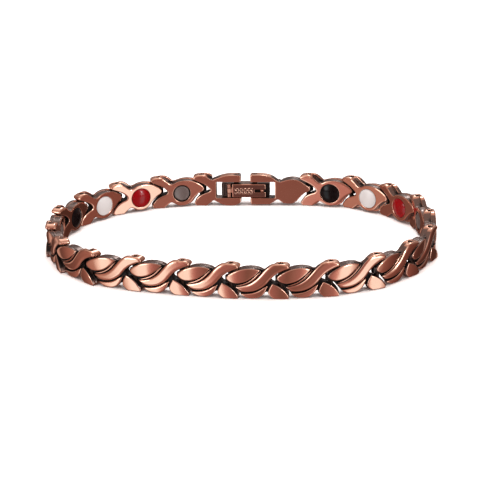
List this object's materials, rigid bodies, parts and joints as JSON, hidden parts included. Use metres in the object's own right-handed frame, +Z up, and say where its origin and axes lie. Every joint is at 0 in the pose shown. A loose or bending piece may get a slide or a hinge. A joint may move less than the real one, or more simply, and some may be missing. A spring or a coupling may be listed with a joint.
{
  "type": "magnetic bracelet",
  "caption": "Closed bracelet of pinned antique copper links with raised leaf relief outside, round coloured and magnetic inserts inside, and a fold-over clasp, standing on its edge.",
  "frame": {"origin": "middle of the loop, on the surface that it stands on", "axes": "+Z up along the hinge pins, +X along the clasp towards its nose link, +Y from the middle of the loop towards the clasp"},
  "size_m": [0.0802, 0.0568, 0.007],
  "materials": {
    "copper": "polished antique copper, dark in the grooves",
    "dark_copper": "darkened copper, satin",
    "steel_pin": "darkened steel",
    "magnet": "matt grey magnet disc",
    "red_insert": "glossy deep red",
    "white_insert": "satin off-white",
    "black_insert": "glossy black"
  },
  "bodies": {
    "bracelet": {"link_01": "copper", "link_02": "copper", "link_03": "copper", "link_04": "copper", "link_05": "copper", "link_06": "copper", "link_07": "copper", "link_08": "copper", "link_09": "copper", "link_10": "copper", "link_11": "copper", "link_12": "copper", "link_13": "copper", "link_14": "copper", "link_15": "copper", "link_16": "copper", "link_17": "copper", "link_18": "copper", "link_19": "copper", "link_20": "copper", "magnet_01": "magnet", "red_insert_02": "red_insert", "white_insert_03": "white_insert", "black_insert_04": "black_insert", "magnet_05": "magnet", "red_insert_06": "red_insert", "white_insert_07": "white_insert", "black_insert_08": "black_insert", "magnet_09": "magnet", "red_insert_10": "red_insert", "white_insert_11": "white_insert", "black_insert_12": "black_insert", "magnet_13": "magnet", "red_insert_14": "red_insert", "white_insert_15": "white_insert", "black_insert_16": "black_insert", "magnet_17": "magnet", "red_insert_18": "red_insert", "white_insert_19": "white_insert", "black_insert_20": "black_insert", "clasp_fork_link": "copper", "clasp_nose_link": "copper", "clasp_plate": "dark_copper", "hinge_pins": "steel_pin", "clasp_pins": "steel_pin", "leaf_hinge_pin": "steel_pin"},
    "leaf": {"clasp_leaf": "copper"}
  },
  "joints": [
    {"name": "leaf_hinge", "type": "hinge", "parent": "bracelet", "child": "leaf", "pos_m": [-0.00446, 0.02585, 0.0035], "axis": [0, 0, -1], "range_deg": [0, 130]}
  ]
}
